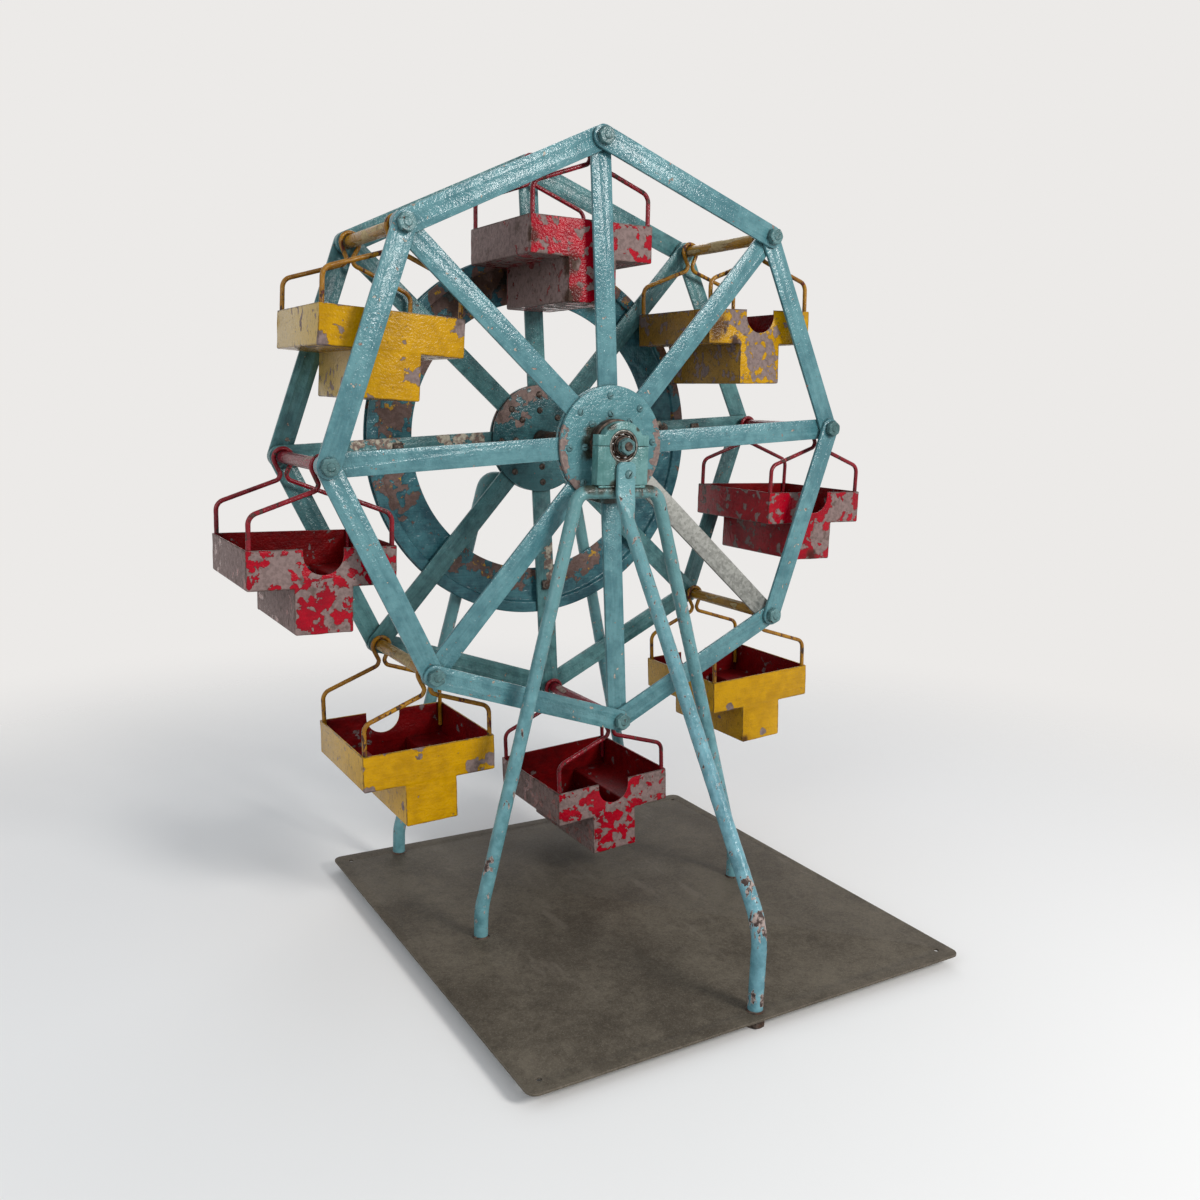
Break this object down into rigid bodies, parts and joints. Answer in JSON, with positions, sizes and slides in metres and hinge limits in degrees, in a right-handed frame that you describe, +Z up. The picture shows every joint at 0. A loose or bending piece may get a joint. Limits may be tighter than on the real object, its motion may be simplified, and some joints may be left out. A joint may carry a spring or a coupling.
{
  "type": "toy ferris wheel",
  "caption": "Tabletop ferris wheel of flat bar with hanging tub gondolas, a pulley rim and a bent-rod stand on a square sheet base.",
  "frame": {"origin": "on the table under the axle, midway between the base plate's front and back edges", "axes": "+Z up, +Y along the axle towards the drive rim at the back, +X to the right seen from the front"},
  "size_m": [0.617, 0.419, 0.6805],
  "materials": {
    "teal_paint": "thick brushed gloss paint, chipped",
    "red_paint": "worn brushed paint over primer",
    "yellow_paint": "worn brushed paint over primer",
    "base_sheet": "mottled dark paint, satin",
    "dark_steel": "brown oxidised steel",
    "bearing_steel": "bright",
    "galvanised": "spangled grey"
  },
  "bodies": {
    "stand": {"base_plate": "base_sheet", "front_frame": "teal_paint", "rear_frame": "teal_paint", "front_brace": "teal_paint", "foot_nuts": "dark_steel", "bearing_blocks": "teal_paint", "bearing_caps": "teal_paint", "bearing_outer_races": "bearing_steel"},
    "wheel": {"bearing_inner_races": "bearing_steel", "bearing_balls": "bearing_steel", "axle": "dark_steel", "axle_nuts": "teal_paint", "axle_washers": "dark_steel", "front_hub_discs": "teal_paint", "rear_hub_discs": "teal_paint", "hub_bosses": "dark_steel", "front_spokes": "teal_paint", "bare_spoke": "galvanised", "rear_spokes": "teal_paint", "front_rim_bars": "teal_paint", "rear_rim_bars": "teal_paint", "red_cross_tubes": "red_paint", "yellow_cross_tubes": "yellow_paint", "tie_rods": "dark_steel", "front_node_nuts": "teal_paint", "rear_node_nuts": "teal_paint", "drive_rim": "teal_paint", "drive_rim_spacers": "dark_steel"},
    "gondola_1": {"gondola_1_tub": "red_paint", "gondola_1_end_plates": "red_paint", "gondola_1_hangers": "red_paint"},
    "gondola_2": {"gondola_2_tub": "yellow_paint", "gondola_2_end_plates": "yellow_paint", "gondola_2_hangers": "yellow_paint"},
    "gondola_3": {"gondola_3_tub": "red_paint", "gondola_3_end_plates": "red_paint", "gondola_3_hangers": "red_paint"},
    "gondola_4": {"gondola_4_tub": "yellow_paint", "gondola_4_end_plates": "yellow_paint", "gondola_4_hangers": "yellow_paint"},
    "gondola_5": {"gondola_5_tub": "red_paint", "gondola_5_end_plates": "red_paint", "gondola_5_hangers": "red_paint"},
    "gondola_6": {"gondola_6_tub": "yellow_paint", "gondola_6_end_plates": "yellow_paint", "gondola_6_hangers": "yellow_paint"},
    "gondola_7": {"gondola_7_tub": "red_paint", "gondola_7_end_plates": "red_paint", "gondola_7_hangers": "red_paint"},
    "gondola_8": {"gondola_8_tub": "yellow_paint", "gondola_8_end_plates": "yellow_paint", "gondola_8_hangers": "yellow_paint"}
  },
  "joints": [
    {"name": "wheel_spin", "type": "hinge", "parent": "stand", "child": "wheel", "pos_m": [0, 0, 0.4214], "axis": [0, 1, 0], "continuous": true},
    {"name": "gondola_1_swing", "type": "hinge", "parent": "wheel", "child": "gondola_1", "pos_m": [-0.01918, 0.107, 0.67066], "axis": [0, 1, 0], "continuous": true},
    {"name": "gondola_2_swing", "type": "hinge", "parent": "wheel", "child": "gondola_2", "pos_m": [0.16269, 0.107, 0.61122], "axis": [0, 1, 0], "continuous": true},
    {"name": "gondola_3_swing", "type": "hinge", "parent": "wheel", "child": "gondola_3", "pos_m": [0.24926, 0.107, 0.44058], "axis": [0, 1, 0], "continuous": true},
    {"name": "gondola_4_swing", "type": "hinge", "parent": "wheel", "child": "gondola_4", "pos_m": [0.18982, 0.107, 0.25871], "axis": [0, 1, 0], "continuous": true},
    {"name": "gondola_5_swing", "type": "hinge", "parent": "wheel", "child": "gondola_5", "pos_m": [0.01918, 0.107, 0.17214], "axis": [0, 1, 0], "continuous": true},
    {"name": "gondola_6_swing", "type": "hinge", "parent": "wheel", "child": "gondola_6", "pos_m": [-0.16269, 0.107, 0.23158], "axis": [0, 1, 0], "continuous": true},
    {"name": "gondola_7_swing", "type": "hinge", "parent": "wheel", "child": "gondola_7", "pos_m": [-0.24926, 0.107, 0.40222], "axis": [0, 1, 0], "continuous": true},
    {"name": "gondola_8_swing", "type": "hinge", "parent": "wheel", "child": "gondola_8", "pos_m": [-0.18982, 0.107, 0.58409], "axis": [0, 1, 0], "continuous": true}
  ],
  "couplings": [
    {"joint": "gondola_1_swing", "follows": "wheel_spin", "ratio": -1},
    {"joint": "gondola_2_swing", "follows": "wheel_spin", "ratio": -1},
    {"joint": "gondola_3_swing", "follows": "wheel_spin", "ratio": -1},
    {"joint": "gondola_4_swing", "follows": "wheel_spin", "ratio": -1},
    {"joint": "gondola_5_swing", "follows": "wheel_spin", "ratio": -1},
    {"joint": "gondola_6_swing", "follows": "wheel_spin", "ratio": -1},
    {"joint": "gondola_7_swing", "follows": "wheel_spin", "ratio": -1},
    {"joint": "gondola_8_swing", "follows": "wheel_spin", "ratio": -1}
  ]
}
